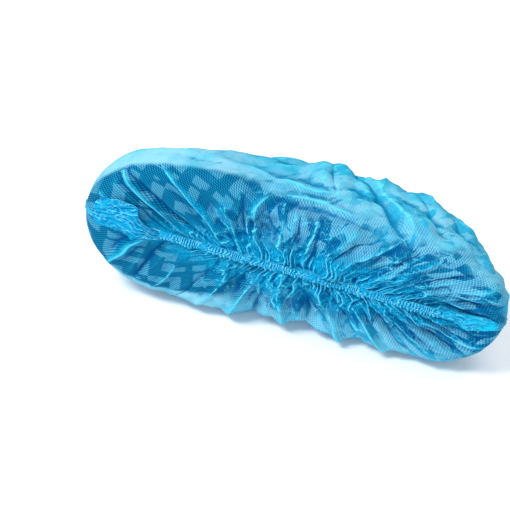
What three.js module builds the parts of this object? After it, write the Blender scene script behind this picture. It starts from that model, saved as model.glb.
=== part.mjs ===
// A disposable shoe cover of thin embossed non-woven, opened out to the form it takes in use.
// Two side panels meet in a gathered elastic seam under the sole and in welded seams over
// the toe and the heel. An elasticated hem gathers the opening, and the spare cloth of each
// end seam is tucked under the sole. The cover lies on its outer side.
// It is drawn first as worn: x runs from toe to heel, y to the inner side and z up from the
// sole. It is then laid down: the inner side faces +Z and the sole faces -Y. Millimetres.
import * as THREE from "three";

// Overall size
const COVER_LENGTH = 316; // toe seam to heel seam along the sole
const SOLE_HALF_WIDTH = 55; // at its widest, near the toe
const HEEL_HEIGHT = 88; // sole to hem at the back
const OPENING_FRONT = 88; // toe seam to the front point of the opening
const OPENING_LENGTH = 194;
const OPENING_HALF_WIDTH = 40;

// Cloth, seams and hem
const WALL = 1.4; // drawn thicker than the real cloth, so that a steep pleat keeps 1 mm
const GAP = 0.3; // between neighbouring pieces
const SOLE_SEAM_HALF_WIDTH = 2.4;
const SOLE_SEAM_DEPTH = 4.6; // how far its crest stands out under the sole
const SOLE_SEAM_START = 59; // from the toe
const SOLE_SEAM_END = 271; // from the toe
const END_SEAM_HALF_WIDTH = 1;
const END_SEAM_DEPTH = 3.4;
const HEM_HEIGHT = 9;
const HEM_THICKNESS = 2.2;

// Section of the cloth between the sole seam and the hem
const SOLE_EDGE_SHARE = 0.92; // of the way from the sole seam to the sole's outline
const SOLE_EDGE_LIFT = 1.2;
const BULGE = 2.5; // how far the side stands out past the sole's outline
const BULGE_HEIGHT = 19;

// Gathers and folds
const GATHERS = 30; // on each side, along the whole sole seam
const SOLE_GATHER_DEPTH = 2.1;
const HEM_GATHER_DEPTH = 1.2;
const GATHER_FADE_AT_SEAM = 0.05; // share of the way round over which gathers die at an end seam
const FOLD_DEPTH = 5;

// Tucks of spare cloth under the toe and the heel
const TOE_TUCK_WIDTH = 27;
const TOE_TUCK_THICKNESS = 5;
const HEEL_TUCK_WIDTH = 15;
const HEEL_TUCK_THICKNESS = 5;
const TUCK_END_MARGIN = 6; // from the tip of the sole

// How the cover lies on its outer side
const LEAN_DEG = 6.5; // the sole turns up by this much
const YAW_DEG = 3.5; // the narrow heel drops by this much
const PRESS = 2.4; // how much of the cloth is flattened where it rests

// Shape from the toe seam (first row) to the heel seam (last row), in even steps along the
// panel. edge*: the sole's outline, as shares of COVER_LENGTH and SOLE_HALF_WIDTH.
// shoulder*: where the side turns in over the instep, as shares of COVER_LENGTH,
// SOLE_HALF_WIDTH and HEEL_HEIGHT. rim*: the opening, as shares of OPENING_LENGTH,
// OPENING_HALF_WIDTH and HEEL_HEIGHT.
const STATION_COLUMNS = [
  "edgeAlong", "edgeInner", "edgeOuter",
  "shoulderAlong", "shoulderInner", "shoulderOuter", "shoulderHigh",
  "rimAlong", "rimWide", "rimHigh",
];
const STATIONS = [
  [0.0, 0.0, 0.0, 0.06, 0.0, 0.0, 0.55, 0.0, 0.0, 0.83],
  [0.027, 0.5, 0.47, 0.078, 0.29, 0.29, 0.56, 0.04, 0.18, 0.825],
  [0.097, 0.86, 0.82, 0.12, 0.57, 0.57, 0.575, 0.11, 0.4, 0.82],
  [0.194, 1.0, 0.97, 0.2, 0.79, 0.77, 0.6, 0.195, 0.6, 0.825],
  [0.295, 1.0, 1.0, 0.295, 0.92, 0.87, 0.635, 0.285, 0.78, 0.84],
  [0.395, 0.92, 0.99, 0.395, 0.97, 0.9, 0.67, 0.38, 0.91, 0.855],
  [0.495, 0.8, 0.94, 0.495, 0.97, 0.89, 0.69, 0.475, 0.98, 0.87],
  [0.595, 0.74, 0.89, 0.595, 0.96, 0.87, 0.7, 0.57, 1.0, 0.885],
  [0.695, 0.73, 0.85, 0.69, 0.92, 0.83, 0.7, 0.67, 0.98, 0.9],
  [0.795, 0.75, 0.82, 0.785, 0.81, 0.77, 0.7, 0.77, 0.91, 0.92],
  [0.888, 0.73, 0.76, 0.865, 0.63, 0.64, 0.7, 0.87, 0.75, 0.95],
  [0.966, 0.48, 0.49, 0.925, 0.36, 0.38, 0.71, 0.96, 0.44, 0.98],
  [1.0, 0.0, 0.0, 0.945, 0.0, 0.0, 0.72, 1.0, 0.0, 1.0],
];
// These change sign across an end seam, and the others are mirrored there.
const WIDTH_COLUMNS = ["edgeInner", "edgeOuter", "shoulderInner", "shoulderOuter", "rimWide"];

// Where along a section its points lie: 0 sole seam, 1 middle of the half sole, 2 sole
// edge, 3 bulge, 4 shoulder, 5 hem.
const SOLE_EDGE_AT = 2;
const RIM_AT = 5;
const SECTION_STEPS = [0, 0.3, 0.6, 1, 1.5, 2, 2.4, 2.7, 3, 3.3, 3.65, 4, 4.35, 4.7, 5];
const COLUMNS = 2 * GATHERS;

// Large folds. side: 1 inner, -1 outer. at: share of the way from the toe seam to the heel
// seam. half: its half width, as the same share. from, to: stretch along the section, as
// above. slant: how much at moves over that stretch. depth: share of FOLD_DEPTH, inward if
// negative.
const FOLD_COLUMNS = ["side", "at", "half", "from", "to", "slant", "depth"];
const FOLDS = [
  // The inner half of the sole
  [1, 0.1, 0.03, 0.0, 2.2, 0.0, 0.35],
  [1, 0.17, 0.03, 0.1, 2.3, -0.01, -0.4],
  [1, 0.25, 0.035, 0.0, 2.2, -0.03, 0.5],
  [1, 0.36, 0.04, 0.1, 1.9, 0.0, -0.35],
  [1, 0.62, 0.04, 0.1, 2.4, 0.04, -0.75],
  [1, 0.7, 0.035, 0.2, 2.7, 0.05, 0.5],
  [1, 0.8, 0.035, 0.2, 2.6, 0.03, -0.65],
  // The inner side, above the sole
  [1, 0.3, 0.06, 2.6, 5.2, 0.02, 0.75],
  [1, 0.39, 0.035, 2.8, 5.2, 0.02, -0.45],
  [1, 0.47, 0.05, 2.8, 5.2, 0.02, 0.8],
  [1, 0.555, 0.035, 2.5, 5.2, 0.02, -0.55],
  [1, 0.64, 0.05, 2.7, 5.2, 0.01, 0.7],
  [1, 0.72, 0.035, 2.3, 5.2, 0.02, -0.65],
  [1, 0.8, 0.05, 2.6, 5.2, 0.0, 0.4],
  // The outer half of the sole
  [-1, 0.12, 0.035, 0.1, 2.3, 0.0, 0.45],
  [-1, 0.22, 0.04, 0.1, 2.2, 0.02, -0.5],
  [-1, 0.44, 0.03, 0.3, 2.9, 0.03, 0.8],
  [-1, 0.52, 0.03, 0.3, 2.8, 0.03, -0.6],
  [-1, 0.6, 0.03, 0.3, 2.9, 0.04, 0.75],
  [-1, 0.68, 0.03, 0.3, 2.8, 0.03, -0.6],
  [-1, 0.77, 0.035, 0.3, 2.6, 0.03, 0.6],
  // The outer side, above the sole
  [-1, 0.33, 0.05, 2.8, 5.2, 0.0, -0.5],
  [-1, 0.5, 0.05, 2.8, 5.2, 0.0, 0.4],
  [-1, 0.66, 0.05, 2.8, 5.2, 0.0, -0.5],
];

// Tucks, from the seam's end to the tip of the sole. along: share of the tuck's length.
// wide: share of its width. shift: how far its middle lies to the inner side, as the same
// share. thick: share of its thickness.
const TUCK_COLUMNS = ["along", "wide", "shift", "thick"];
const TOE_TUCK = [
  [0.0, 0.1, 0.0, 0.35],
  [0.14, 0.4, 0.1, 0.6],
  [0.3, 0.92, 0.22, 0.9],
  [0.42, 1.0, 0.28, 1.0],
  [0.62, 0.94, 0.2, 0.9],
  [0.84, 0.7, 0.1, 0.7],
  [1.0, 0.32, 0.05, 0.4],
];
const HEEL_TUCK = [
  [0.0, 0.3, 0.0, 0.45],
  [0.18, 0.75, 0.05, 0.8],
  [0.45, 1.0, -0.1, 1.0],
  [0.72, 0.7, -0.15, 0.7],
  [1.0, 0.22, -0.05, 0.35],
];
const TUCK_AROUND = 14;

const clamp01 = (value) => Math.min(1, Math.max(0, value));
const smooth = (value) => clamp01(value) ** 2 * (3 - 2 * clamp01(value));

// Catmull-Rom value between four rows.
function between(before, from, to, after, share) {
  const slopeIn = (to - before) / 2;
  const slopeOut = (after - from) / 2;
  const s2 = share * share;
  const s3 = s2 * share;
  return (
    from * (2 * s3 - 3 * s2 + 1) + to * (3 * s2 - 2 * s3) +
    slopeIn * (s3 - 2 * s2 + share) + slopeOut * (s3 - s2)
  );
}

// One column of STATIONS at a share of the way from the toe seam to the heel seam.
function station(name, share) {
  const column = STATION_COLUMNS.indexOf(name);
  const across = WIDTH_COLUMNS.includes(name) ? -1 : 1;
  const last = STATIONS.length - 1;
  const row = (i) => {
    if (i < 0) return across * STATIONS[-i][column];
    if (i > last) return across * STATIONS[2 * last - i][column];
    return STATIONS[i][column];
  };
  const at = clamp01(share) * last;
  const i = Math.min(Math.floor(at), last - 1);
  return between(row(i - 1), row(i), row(i + 1), row(i + 2), at - i);
}

// The six points of a section as worn, for one side (1 inner, -1 outer).
function sectionPoints(side, share) {
  const seamClear = SOLE_SEAM_HALF_WIDTH + GAP;
  const endClear = END_SEAM_HALF_WIDTH + GAP;
  const seam = new THREE.Vector3(
    SOLE_SEAM_START + (SOLE_SEAM_END - SOLE_SEAM_START) * share, seamClear, 0,
  );
  const edgeShare = station(side > 0 ? "edgeInner" : "edgeOuter", share);
  const shoulderShare = station(side > 0 ? "shoulderInner" : "shoulderOuter", share);
  const outline = new THREE.Vector3(
    COVER_LENGTH * station("edgeAlong", share), endClear + SOLE_HALF_WIDTH * edgeShare, 0,
  );
  const outward = outline.clone().sub(seam).normalize();
  const edge = seam.clone().lerp(outline, SOLE_EDGE_SHARE).setZ(SOLE_EDGE_LIFT);
  const bulge = outline.clone().addScaledVector(outward, BULGE).setZ(BULGE_HEIGHT);
  bulge.y = Math.max(bulge.y, endClear);
  const shoulder = new THREE.Vector3(
    COVER_LENGTH * station("shoulderAlong", share),
    endClear + SOLE_HALF_WIDTH * shoulderShare,
    HEEL_HEIGHT * station("shoulderHigh", share),
  );
  const rim = new THREE.Vector3(
    OPENING_FRONT + OPENING_LENGTH * station("rimAlong", share),
    endClear + OPENING_HALF_WIDTH * station("rimWide", share),
    HEEL_HEIGHT * station("rimHigh", share),
  );
  const middle = seam.clone().lerp(edge, 0.5).setZ(0);
  return [seam, middle, edge, bulge, shoulder, rim].map((p) => p.setY(p.y * side));
}

// Point of the smooth cloth, without gathers, at a place along a section.
function smoothPoint(side, share, place) {
  const points = sectionPoints(side, share);
  const curve = new THREE.CatmullRomCurve3(points, false, "centripetal");
  return curve.getPoint(place / RIM_AT);
}

// Direction out of the smooth cloth.
function outwardNormal(side, share, place) {
  const step = 0.01;
  const [low, high] = [Math.max(0, share - step), Math.min(1, share + step)];
  const [below, above] = [Math.max(0, place - step), Math.min(RIM_AT, place + step)];
  const along = smoothPoint(side, high, place).sub(smoothPoint(side, low, place));
  const across = smoothPoint(side, share, above).sub(smoothPoint(side, share, below));
  const normal = across.cross(along).multiplyScalar(side).normalize();
  if (low === 0 || high === 1) normal.setY(0).normalize(); // the two panels meet square
  return normal;
}

// Hill of height 1 with a rounded top, zero at a distance of 1.
const hill = (distance) => smooth(1 - Math.abs(distance));

// How far gathers and folds lift the cloth at one grid point.
function relief(side, column, place) {
  const share = column / COLUMNS;
  const fade = smooth(Math.min(share, 1 - share) / GATHER_FADE_AT_SEAM);
  const pleat = column % 2 ? 1 : -1;
  const uneven = 0.78 + 0.22 * Math.sin(2.4 * column + side);
  const nearSeam = smooth(1 - place / (1.5 + 0.5 * Math.sin(1.7 * column)));
  const nearRim = smooth((place - 3.2) / (RIM_AT - 3.2));
  const gather = SOLE_GATHER_DEPTH * nearSeam + HEM_GATHER_DEPTH * nearRim;
  let lift = pleat * uneven * gather;
  for (const row of FOLDS) {
    const fold = Object.fromEntries(FOLD_COLUMNS.map((name, i) => [name, row[i]]));
    if (fold.side !== side || place < fold.from || place > fold.to) continue;
    const run = (place - fold.from) / (fold.to - fold.from);
    const ends = Math.sin(Math.PI * run) ** 0.7;
    const middle = fold.at + fold.slant * run;
    lift += FOLD_DEPTH * fold.depth * ends * hill((share - middle) / fold.half);
  }
  return lift * fade;
}

// Lays the worn cover on its outer side. The constants hold the turn, and drop is set so
// that the lowest cloth would reach PRESS under the surface.
const LAY = new THREE.Matrix4()
  .makeRotationY(THREE.MathUtils.degToRad(YAW_DEG))
  .multiply(new THREE.Matrix4().makeRotationX(THREE.MathUtils.degToRad(-LEAN_DEG)))
  .multiply(new THREE.Matrix4().set(1, 0, 0, 0, 0, 0, 1, 0, 0, 1, 0, 0, 0, 0, 0, 1));

const worn = (side, column, place) =>
  smoothPoint(side, column / COLUMNS, place).addScaledVector(
    outwardNormal(side, column / COLUMNS, place), relief(side, column, place),
  );

function lowestOfLaid() {
  let lowest = Infinity;
  for (let column = 0; column <= COLUMNS; column++)
    for (const place of SECTION_STEPS)
      lowest = Math.min(lowest, worn(-1, column, place).applyMatrix4(LAY).z);
  return lowest;
}
const DROP = lowestOfLaid() + PRESS;

// A worn point in the laid frame, no lower than the surface plus its height in the wall.
function laid(point, over = 0) {
  const p = point.clone().applyMatrix4(LAY);
  p.z = Math.max(p.z - DROP, over);
  return p;
}

// Volume inside triangles given as indices into points, negative where they face inwards.
function signedVolume(points, index) {
  let volume = 0;
  for (let i = 0; i < index.length; i += 3) {
    const [a, b, c] = [points[index[i]], points[index[i + 1]], points[index[i + 2]]];
    volume += a.dot(b.clone().cross(c)) / 6;
  }
  return volume;
}

// A closed solid from rings of points: quads between neighbours, and a cap at each end
// unless the rings close on themselves. A ring runs out along its first half and back along
// the second, so a cap is a strip of quads from one half to the other.
function skin(rings, closed) {
  const around = rings[0].length;
  const points = rings.flat();
  const index = [];
  const bands = closed ? rings.length : rings.length - 1;
  for (let i = 0; i < bands; i++)
    for (let j = 0; j < around; j++) {
      const next = (i + 1) % rings.length;
      const a = i * around + j;
      const b = i * around + ((j + 1) % around);
      const c = next * around + j;
      const d = next * around + ((j + 1) % around);
      index.push(a, c, b, b, c, d);
    }
  if (!closed) {
    const end = (rings.length - 1) * around;
    for (let j = 0; j < around / 2 - 1; j++) {
      const [a, b, c, d] = [j, j + 1, around - 2 - j, around - 1 - j];
      index.push(a, b, c, a, c, d);
      index.push(end + a, end + c, end + b, end + a, end + d, end + c);
    }
  }
  if (signedVolume(points, index) < 0) index.reverse();
  const positions = points.flatMap((p) => [p.x, p.y, p.z]);
  const geometry = new THREE.BufferGeometry();
  geometry.setAttribute("position", new THREE.Float32BufferAttribute(positions, 3));
  geometry.setIndex(index);
  geometry.computeVertexNormals();
  return geometry;
}

// One side of the cover, from the sole seam to the hem, as a wall with an inner face.
function panel(side) {
  const rings = [];
  for (let column = 0; column <= COLUMNS; column++) {
    const outer = [];
    const inner = [];
    for (const place of SECTION_STEPS) {
      const point = worn(side, column, place);
      const normal = outwardNormal(side, column / COLUMNS, place);
      outer.push(laid(point));
      inner.push(laid(point.clone().addScaledVector(normal, -WALL), WALL));
    }
    rings.push([...outer, ...inner.reverse()]);
  }
  return skin(rings, false);
}

// The gathered elastic seam under the sole: a cord of cloth that fills the slot between the
// panels' gathered edges and puckers along its crest.
function soleSeam() {
  const root = SOLE_GATHER_DEPTH + WALL;
  const rings = [];
  for (let i = 0; i <= COLUMNS; i++) {
    const share = i / COLUMNS;
    const pucker = i % 2 ? 1 : 0.62;
    const shift = (i % 4 < 2 ? 1 : -1) * SOLE_SEAM_HALF_WIDTH * 0.18;
    const crestHalf = SOLE_SEAM_HALF_WIDTH * 0.62 * pucker;
    const crest = SOLE_SEAM_DEPTH * (0.6 + 0.4 * pucker);
    const x = SOLE_SEAM_START + (SOLE_SEAM_END - SOLE_SEAM_START) * share;
    rings.push(
      [
        [-SOLE_SEAM_HALF_WIDTH, root], [SOLE_SEAM_HALF_WIDTH, root],
        [SOLE_SEAM_HALF_WIDTH, -crest * 0.45], [shift + crestHalf, -crest],
        [shift - crestHalf, -crest], [-SOLE_SEAM_HALF_WIDTH, -crest * 0.45],
      ].map(([y, z]) => laid(new THREE.Vector3(x, y, z))),
    );
  }
  return skin(rings, false);
}

// The welded ridge over the toe (share 0) or up the back of the heel (share 1).
function endSeam(share) {
  const inward = WALL + GAP;
  const rings = SECTION_STEPS.filter((place) => place >= SOLE_EDGE_AT).map((place) => {
    const inner = smoothPoint(1, share, place).setY(0);
    const normal = outwardNormal(1, share, place);
    const root = inner.clone().addScaledVector(normal, -inward);
    const crest = inner.clone().addScaledVector(normal, END_SEAM_DEPTH - inward);
    const at = (p, half) => laid(new THREE.Vector3(p.x, half, p.z));
    return [
      at(root, -END_SEAM_HALF_WIDTH), at(crest, -END_SEAM_HALF_WIDTH * 0.6),
      at(crest, END_SEAM_HALF_WIDTH * 0.6), at(root, END_SEAM_HALF_WIDTH),
    ];
  });
  return skin(rings, false);
}

// The elasticated hem: a gathered band that stands on the panels' edge, all round.
function hem() {
  const sides = [];
  for (let column = 0; column <= COLUMNS; column++) sides.push([1, column]);
  for (let column = COLUMNS; column >= 0; column--) sides.push([-1, column]);
  const rings = sides.map(([side, column]) => {
    const share = column / COLUMNS;
    const top = smoothPoint(side, share, RIM_AT);
    const up = top.clone().sub(smoothPoint(side, share, RIM_AT - 0.05)).normalize();
    const out = outwardNormal(side, share, RIM_AT);
    const root = worn(side, column, RIM_AT).addScaledVector(out, -WALL / 2);
    const calm = top.clone().addScaledVector(out, -WALL / 2);
    const ruffle = column % 2 ? 1 : 0.7;
    const at = (height, offset) => {
      const base = root.clone().lerp(calm, height * 0.6);
      return laid(
        base.addScaledVector(up, GAP + HEM_HEIGHT * height).addScaledVector(out, offset),
      );
    };
    const half = HEM_THICKNESS / 2;
    return [
      at(0, -half * 0.7), at(0.55, -half * ruffle), at(1, -half * 0.6),
      at(1, half * 0.6), at(0.55, half * ruffle), at(0, half * 0.7),
    ];
  });
  return skin(rings, true);
}

// How far the gathers under the sole reach down between two places along it and within a
// distance of its middle.
function gatherReach(from, to, distance) {
  let reach = 0;
  for (const side of [1, -1])
    for (let column = 0; column <= COLUMNS; column++)
      for (const place of SECTION_STEPS) {
        const p = worn(side, column, place);
        const over = p.x >= Math.min(from, to) && p.x <= Math.max(from, to);
        if (over && Math.abs(p.y) <= distance && place <= SOLE_EDGE_AT) {
          reach = Math.max(reach, -p.z);
        }
      }
  return reach;
}

// Folded spare cloth against the sole, from the end of the sole seam to the sole's tip.
function tuck(rows, seamEnd, tip, width, thickness) {
  const last = rows.length - 1;
  const seat = -gatherReach(seamEnd, tip, width) - GAP;
  const at = (name, share) => {
    const column = TUCK_COLUMNS.indexOf(name);
    const row = (i) => rows[Math.min(last, Math.max(0, i))][column];
    const place = share * last;
    const i = Math.min(Math.floor(place), last - 1);
    return between(row(i - 1), row(i), row(i + 1), row(i + 2), place - i);
  };
  const steps = 2 * last;
  const rings = [];
  for (let i = 0; i <= steps; i++) {
    const share = i / steps;
    const x = seamEnd + (tip - seamEnd) * at("along", share);
    const half = (width / 2) * at("wide", share);
    const middle = width * at("shift", share);
    const high = thickness * at("thick", share);
    const ring = [];
    for (let j = 0; j < TUCK_AROUND; j++) {
      const turn = (2 * Math.PI * j) / TUCK_AROUND;
      const crease = j % 2 ? 1 : 0.82;
      const y = middle + half * Math.cos(turn);
      const z = seat - (high / 2) * (1 + Math.sin(turn) * crease);
      ring.push(laid(new THREE.Vector3(x, y, z)));
    }
    rings.push(ring);
  }
  return skin(rings, false);
}

const cloth = (hex) =>
  new THREE.MeshStandardMaterial({ color: hex, roughness: 0.75, metalness: 0 });

const cover = new THREE.Group();
function add(name, geometry, hex) {
  const mesh = new THREE.Mesh(geometry, cloth(hex));
  mesh.name = name;
  cover.add(mesh);
}

const toeTip = TUCK_END_MARGIN;
const heelTip = COVER_LENGTH - TUCK_END_MARGIN;
add("inner_panel", panel(1), 0x52b9e6);
add("outer_panel", panel(-1), 0x52b9e6);
add("sole_seam", soleSeam(), 0x2fa6df);
add("toe_seam", endSeam(0), 0x3fb0e4);
add("heel_seam", endSeam(1), 0x3fb0e4);
add("opening_hem", hem(), 0x6cc6ea);
add(
  "toe_tuck",
  tuck(TOE_TUCK, SOLE_SEAM_START - GAP, toeTip, TOE_TUCK_WIDTH, TOE_TUCK_THICKNESS),
  0x1fa9e2,
);
add(
  "heel_tuck",
  tuck(HEEL_TUCK, SOLE_SEAM_END + GAP, heelTip, HEEL_TUCK_WIDTH, HEEL_TUCK_THICKNESS),
  0x1fa9e2,
);

// The origin is the middle of the overall size, on the surface that the cover lies on.
const middle = new THREE.Box3().setFromObject(cover).getCenter(new THREE.Vector3());
cover.position.set(-middle.x, -middle.y, 0);

export default cover;
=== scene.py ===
import math

import bpy
import numpy as np
from mathutils import Matrix, Vector


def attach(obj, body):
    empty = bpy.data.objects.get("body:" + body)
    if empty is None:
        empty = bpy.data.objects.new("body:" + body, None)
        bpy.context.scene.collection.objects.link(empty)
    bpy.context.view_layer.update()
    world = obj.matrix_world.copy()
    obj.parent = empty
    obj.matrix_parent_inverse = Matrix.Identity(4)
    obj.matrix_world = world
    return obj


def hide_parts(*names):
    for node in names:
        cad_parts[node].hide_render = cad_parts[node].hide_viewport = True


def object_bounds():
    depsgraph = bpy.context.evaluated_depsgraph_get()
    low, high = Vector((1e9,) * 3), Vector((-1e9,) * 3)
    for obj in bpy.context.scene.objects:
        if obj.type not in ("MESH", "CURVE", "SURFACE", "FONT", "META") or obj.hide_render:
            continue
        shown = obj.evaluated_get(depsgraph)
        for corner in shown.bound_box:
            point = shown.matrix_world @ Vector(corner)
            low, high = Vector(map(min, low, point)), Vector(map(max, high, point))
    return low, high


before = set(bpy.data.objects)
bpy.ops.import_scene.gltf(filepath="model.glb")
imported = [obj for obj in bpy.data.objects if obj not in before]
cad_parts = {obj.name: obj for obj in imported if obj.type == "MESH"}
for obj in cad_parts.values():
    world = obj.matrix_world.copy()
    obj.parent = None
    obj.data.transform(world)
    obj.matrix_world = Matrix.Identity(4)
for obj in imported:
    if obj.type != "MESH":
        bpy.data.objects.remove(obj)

# The cover is drawn first as worn: x runs from toe to heel, y to the inner side and z up from
# the sole, in millimetres. It is then laid on its outer side, in metres, in the model's frame.

cad_low, cad_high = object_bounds()

# Overall size, as in the solids
COVER_LENGTH = 316.0
SOLE_HALF_WIDTH = 55.0
HEEL_HEIGHT = 88.0
OPENING_FRONT = 88.0
OPENING_LENGTH = 194.0
OPENING_HALF_WIDTH = 40.0
SEAM_HALF_WIDTH = 2.4
SEAM_START = 59.0
SEAM_END = 271.0
GAP = 0.3
END_SEAM_HALF_WIDTH = 1.0
SOLE_EDGE_SHARE = 0.92
SOLE_EDGE_LIFT = 1.2
BULGE = 2.5
BULGE_HEIGHT = 19.0
LEAN = math.radians(6.5)
YAW = math.radians(3.5)
LAID_OFFSET = np.array((-157.578, -43.138, 66.927))
MM = 0.001

STATION_COLUMNS = (
    "edgeAlong", "edgeInner", "edgeOuter",
    "shoulderAlong", "shoulderInner", "shoulderOuter", "shoulderHigh",
    "rimAlong", "rimWide", "rimHigh",
)
STATIONS = np.array((
    (0.0, 0.0, 0.0, 0.06, 0.0, 0.0, 0.55, 0.0, 0.0, 0.83),
    (0.027, 0.5, 0.47, 0.078, 0.29, 0.29, 0.56, 0.04, 0.18, 0.825),
    (0.097, 0.86, 0.82, 0.12, 0.57, 0.57, 0.575, 0.11, 0.4, 0.82),
    (0.194, 1.0, 0.97, 0.2, 0.79, 0.77, 0.6, 0.195, 0.6, 0.825),
    (0.295, 1.0, 1.0, 0.295, 0.92, 0.87, 0.635, 0.285, 0.78, 0.84),
    (0.395, 0.92, 0.99, 0.395, 0.97, 0.9, 0.67, 0.38, 0.91, 0.855),
    (0.495, 0.8, 0.94, 0.495, 0.97, 0.89, 0.69, 0.475, 0.98, 0.87),
    (0.595, 0.74, 0.89, 0.595, 0.96, 0.87, 0.7, 0.57, 1.0, 0.885),
    (0.695, 0.73, 0.85, 0.69, 0.92, 0.83, 0.7, 0.67, 0.98, 0.9),
    (0.795, 0.75, 0.82, 0.785, 0.81, 0.77, 0.7, 0.77, 0.91, 0.92),
    (0.888, 0.73, 0.76, 0.865, 0.63, 0.64, 0.7, 0.87, 0.75, 0.95),
    (0.966, 0.48, 0.49, 0.925, 0.36, 0.38, 0.71, 0.96, 0.44, 0.98),
    (1.0, 0.0, 0.0, 0.945, 0.0, 0.0, 0.72, 1.0, 0.0, 1.0),
))
WIDTH_COLUMNS = ("edgeInner", "edgeOuter", "shoulderInner", "shoulderOuter", "rimWide")

# Places along a section: 0 sole seam, 1 middle of the half sole, 2 sole edge, 3 bulge,
# 4 shoulder, 5 hem; and the share of the way to the hem at which each lies.
PLACES = (0.0, 1.0, 2.0, 3.0, 4.0, 5.0)
PLACE_SHARES = (0.0, 0.23, 0.45, 0.59, 0.82, 1.0)

INNER, OUTER = 1, -1


def unit(vectors):
    return vectors / np.linalg.norm(vectors, axis=-1, keepdims=True)


def station(name, share):
    """One column of the stations, at shares of the way from toe to heel, on a smooth curve."""
    column = STATIONS[:, STATION_COLUMNS.index(name)]
    sign = -1 if name in WIDTH_COLUMNS else 1
    rows = np.concatenate(([sign * column[1]], column, sign * column[-2:-4:-1]))
    at = np.clip(share, 0, 1) * (len(column) - 1)
    i = np.minimum(at.astype(int), len(column) - 2)
    t = at - i
    before, start, end, after = rows[i], rows[i + 1], rows[i + 2], rows[i + 3]
    return (
        start * (2 * t**3 - 3 * t**2 + 1) + end * (3 * t**2 - 2 * t**3)
        + (end - before) / 2 * (t**3 - 2 * t**2 + t) + (after - start) / 2 * (t**3 - t**2)
    )


def section_points(side, share):
    """The six points of each section, as (number of shares, 6, 3)."""
    zero = np.zeros(len(share))
    clear = END_SEAM_HALF_WIDTH + GAP
    seam = np.stack([
        SEAM_START + (SEAM_END - SEAM_START) * share, zero + SEAM_HALF_WIDTH + GAP, zero,
    ], 1)
    edge_share = station("edgeInner" if side == INNER else "edgeOuter", share)
    shoulder_share = station("shoulderInner" if side == INNER else "shoulderOuter", share)
    outline = np.stack([
        COVER_LENGTH * station("edgeAlong", share), clear + SOLE_HALF_WIDTH * edge_share, zero,
    ], 1)
    outward = unit(outline - seam)
    edge = seam + (outline - seam) * SOLE_EDGE_SHARE
    edge[:, 2] = SOLE_EDGE_LIFT
    bulge = outline + outward * BULGE
    bulge[:, 2] = BULGE_HEIGHT
    bulge[:, 1] = np.maximum(bulge[:, 1], clear)
    shoulder = np.stack([
        COVER_LENGTH * station("shoulderAlong", share),
        clear + SOLE_HALF_WIDTH * shoulder_share,
        HEEL_HEIGHT * station("shoulderHigh", share),
    ], 1)
    rim = np.stack([
        OPENING_FRONT + OPENING_LENGTH * station("rimAlong", share),
        clear + OPENING_HALF_WIDTH * station("rimWide", share),
        HEEL_HEIGHT * station("rimHigh", share),
    ], 1)
    middle = (seam + edge) / 2
    middle[:, 2] = 0
    points = np.stack([seam, middle, edge, bulge, shoulder, rim], 1)
    points[:, :, 1] *= side
    return points


def smooth_cloth(side, share, place):
    """Points of the cloth without gathers, as (number of shares, number of places, 3)."""
    points = section_points(side, share)
    before = 2 * points[:, :1] - points[:, 1:2]
    after = 2 * points[:, -1:] - points[:, -2:-1]
    run = np.concatenate([before, points, after], 1)
    out = np.empty((len(share), len(place), 3))
    for k, spot in enumerate(place):
        i = min(int(spot), 4)
        t = spot - i
        p0, p1, p2, p3 = (run[:, i + j] for j in range(4))
        d0, d1, d2 = (
            np.maximum(np.linalg.norm(b - a, axis=1) ** 0.5, 1e-6)[:, None]
            for a, b in ((p0, p1), (p1, p2), (p2, p3))
        )
        m1 = ((p1 - p0) / d0 - (p2 - p0) / (d0 + d1) + (p2 - p1) / d1) * d1
        m2 = ((p2 - p1) / d1 - (p3 - p1) / (d1 + d2) + (p3 - p2) / d2) * d1
        out[:, k] = (
            p1 + m1 * t + (-3 * p1 + 3 * p2 - 2 * m1 - m2) * t**2
            + (2 * p1 - 2 * p2 + m1 + m2) * t**3
        )
    return out


def turn_x(angle):
    c, s = math.cos(angle), math.sin(angle)
    return np.array(((1, 0, 0), (0, c, -s), (0, s, c)))


def turn_y(angle):
    c, s = math.cos(angle), math.sin(angle)
    return np.array(((c, 0, s), (0, 1, 0), (-s, 0, c)))


LAY = turn_y(YAW) @ turn_x(-LEAN) @ np.array(((1, 0, 0), (0, 0, 1), (0, 1, 0)))


def laid(points):
    """Worn millimetres to the laid frame in metres, flattened where they meet the floor."""
    out = points @ LAY.T + LAID_OFFSET
    out[..., 2] = np.maximum(out[..., 2], 0)
    return out * MM


# Small functions for the forms
def smooth(value):
    value = np.clip(value, 0, 1)
    return value * value * (3 - 2 * value)


def between(low, high, value):
    """0 below low, 1 above high, and smooth in between."""
    return smooth((value - low) / (high - low))


def chance(i, j, seed):
    """A repeatable value from 0 to 1 for whole numbers i and j."""
    n = i.astype(np.int64) * 374761393 + j * 668265263 + seed * 974634777
    n = n & 0xFFFFFFFF
    n = ((n ^ (n >> 13)) * 1274126177) & 0xFFFFFFFF
    return ((n ^ (n >> 16)) & 0xFFFF) / 65535.0


def corners(x, y, seed):
    """Place in a unit square, and a value from -1 to 1 at each of its corners."""
    i, j = np.floor(x), np.floor(y)
    a, b = x - i, y - j
    i, j = i.astype(np.int64), j.astype(np.int64)
    values = [chance(i + p, j + q, seed) * 2 - 1 for p, q in ((0, 0), (1, 0), (0, 1), (1, 1))]
    return a, b, values


def soft_noise(x, y, seed):
    """Smooth noise from -1 to 1 with a grain of one."""
    a, b, (v00, v10, v01, v11) = corners(x, y, seed)
    a, b = smooth(a), smooth(b)
    return (v00 * (1 - a) + v10 * a) * (1 - b) + (v01 * (1 - a) + v11 * a) * b


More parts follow.
